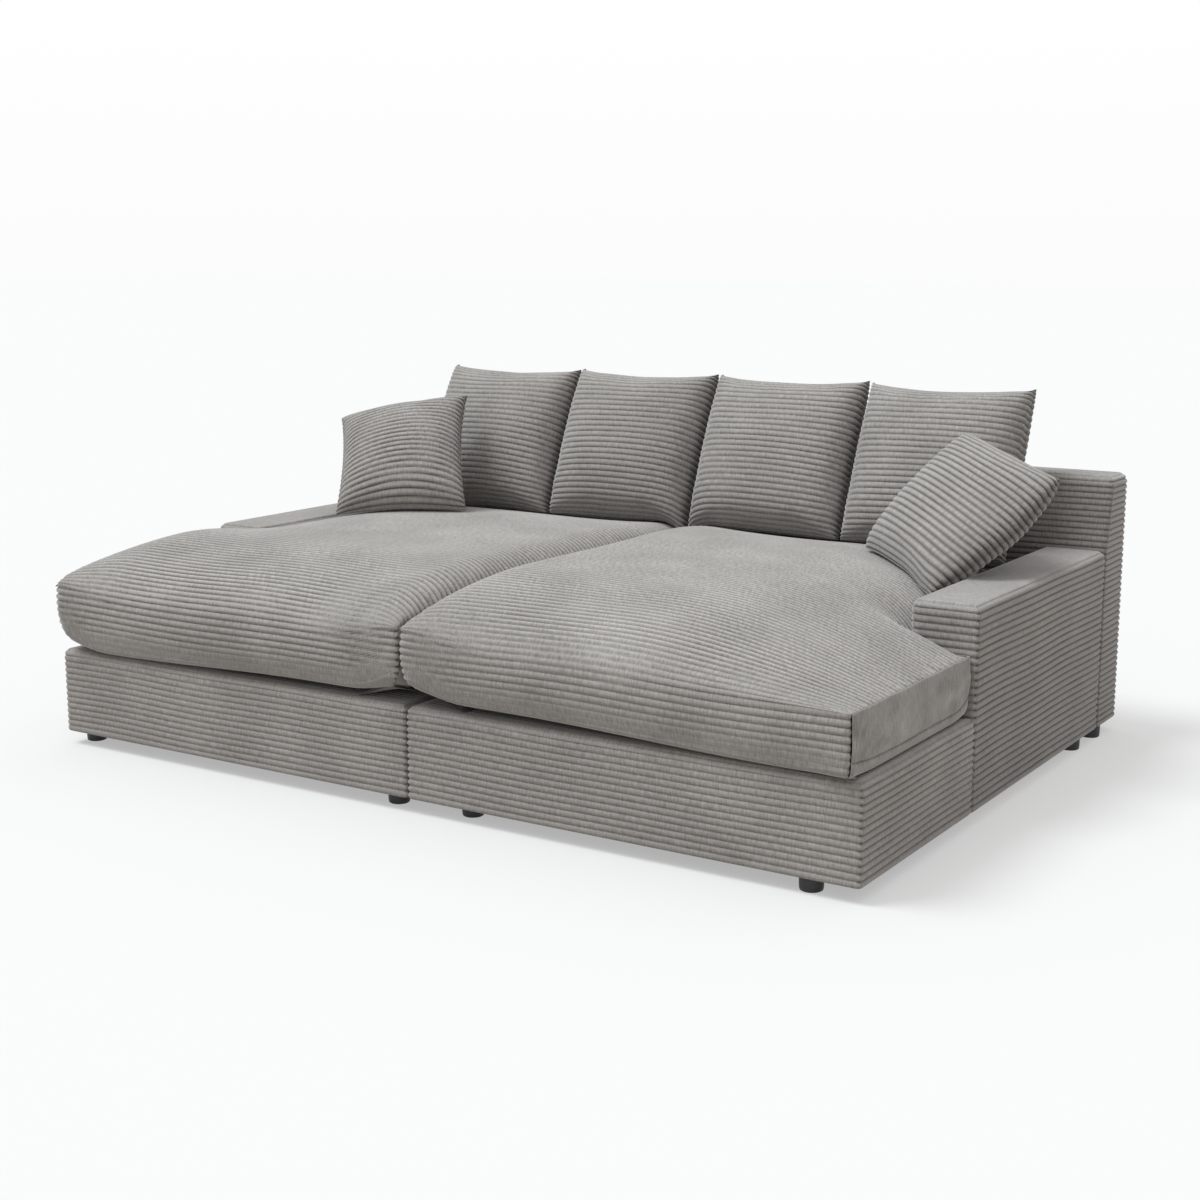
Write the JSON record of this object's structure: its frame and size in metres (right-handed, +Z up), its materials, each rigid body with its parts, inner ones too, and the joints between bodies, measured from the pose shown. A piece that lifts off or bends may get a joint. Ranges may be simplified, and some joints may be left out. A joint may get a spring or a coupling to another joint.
{
  "type": "corduroy sofa",
  "caption": "Wide corduroy lounger sofa of joined chaise modules, with boxed arms, a low back, crowned seat cushions, loose back pillows and throw pillows on short round feet.",
  "frame": {"origin": "middle of the sofa's footprint, on the floor", "axes": "+X to the right as seen from the front, +Y to the back, +Z up"},
  "size_m": [2.44, 1.781, 0.9865],
  "materials": {
    "corduroy": "wide-wale corduroy, warm light grey",
    "timber": "planed softwood",
    "plywood": "sanded plywood",
    "spring_steel": "oil-tempered wire",
    "zinc_steel": "zinc plated",
    "felt": "needled felt",
    "dust_cloth": "black non-woven cloth",
    "foot_plastic": "black moulded plastic"
  },
  "bodies": {
    "left_chaise": {"left_base_cover": "corduroy", "left_arm_cover": "corduroy", "left_back_cover": "corduroy", "left_front_rail": "timber", "left_wing_side_rail": "timber", "left_wing_rear_rail": "timber", "left_outer_rail": "timber", "left_rear_rail": "timber", "left_inner_rail": "timber", "left_cross_rail": "timber", "left_arm_frame": "plywood", "left_back_frame": "plywood", "left_spring_1": "spring_steel", "left_spring_2": "spring_steel", "left_spring_3": "spring_steel", "left_arm_bracket": "zinc_steel", "left_back_bracket": "zinc_steel", "left_front_inner_foot": "foot_plastic", "left_front_outer_foot": "foot_plastic", "left_rear_inner_foot": "foot_plastic", "left_arm_foot": "foot_plastic", "left_back_inner_foot": "foot_plastic", "left_back_outer_foot": "foot_plastic", "left_deck_pad": "felt", "left_dust_cover": "dust_cloth", "left_connector_jaw": "zinc_steel"},
    "right_chaise": {"right_base_cover": "corduroy", "right_arm_cover": "corduroy", "right_back_cover": "corduroy", "right_front_rail": "timber", "right_wing_side_rail": "timber", "right_wing_rear_rail": "timber", "right_outer_rail": "timber", "right_rear_rail": "timber", "right_inner_rail": "timber", "right_cross_rail": "timber", "right_arm_frame": "plywood", "right_back_frame": "plywood", "right_spring_1": "spring_steel", "right_spring_2": "spring_steel", "right_spring_3": "spring_steel", "right_arm_bracket": "zinc_steel", "right_back_bracket": "zinc_steel", "right_front_inner_foot": "foot_plastic", "right_front_outer_foot": "foot_plastic", "right_rear_inner_foot": "foot_plastic", "right_arm_foot": "foot_plastic", "right_back_inner_foot": "foot_plastic", "right_back_outer_foot": "foot_plastic", "right_deck_pad": "felt", "right_dust_cover": "dust_cloth", "right_connector_tongue": "zinc_steel"},
    "left_seat_cushion": {"left_seat_cushion": "corduroy"},
    "left_back_pillow_1": {"left_back_pillow_1": "corduroy"},
    "left_back_pillow_2": {"left_back_pillow_2": "corduroy"},
    "left_throw_pillow": {"left_throw_pillow": "corduroy"},
    "right_seat_cushion": {"right_seat_cushion": "corduroy"},
    "right_back_pillow_1": {"right_back_pillow_1": "corduroy"},
    "right_back_pillow_2": {"right_back_pillow_2": "corduroy"},
    "right_throw_pillow": {"right_throw_pillow": "corduroy"}
  },
  "joints": [
    {"name": "right_chaise_slide", "type": "slide", "parent": "left_chaise", "child": "right_chaise", "axis": [1, 0, 0], "range_m": [0, 0.6]},
    {"name": "left_seat_lift", "type": "slide", "parent": "left_chaise", "child": "left_seat_cushion", "axis": [0, 0, 1], "range_m": [0, 0.5]},
    {"name": "left_back_pillow_1_lift", "type": "slide", "parent": "left_seat_cushion", "child": "left_back_pillow_1", "axis": [0, 0, 1], "range_m": [0, 0.45]},
    {"name": "left_back_pillow_2_lift", "type": "slide", "parent": "left_seat_cushion", "child": "left_back_pillow_2", "axis": [0, 0, 1], "range_m": [0, 0.45]},
    {"name": "right_seat_lift", "type": "slide", "parent": "right_chaise", "child": "right_seat_cushion", "axis": [0, 0, 1], "range_m": [0, 0.5]},
    {"name": "right_back_pillow_1_lift", "type": "slide", "parent": "right_seat_cushion", "child": "right_back_pillow_1", "axis": [0, 0, 1], "range_m": [0, 0.45]},
    {"name": "right_back_pillow_2_lift", "type": "slide", "parent": "right_seat_cushion", "child": "right_back_pillow_2", "axis": [0, 0, 1], "range_m": [0, 0.45]},
    {"name": "left_throw_lift", "type": "slide", "parent": "left_back_pillow_2", "child": "left_throw_pillow", "axis": [0.2582, -0.6727, 0.6934], "range_m": [0, 0.4]},
    {"name": "right_throw_lift", "type": "slide", "parent": "right_back_pillow_2", "child": "right_throw_pillow", "axis": [-0.3284, -0.5948, 0.7337], "range_m": [0, 0.4]}
  ]
}
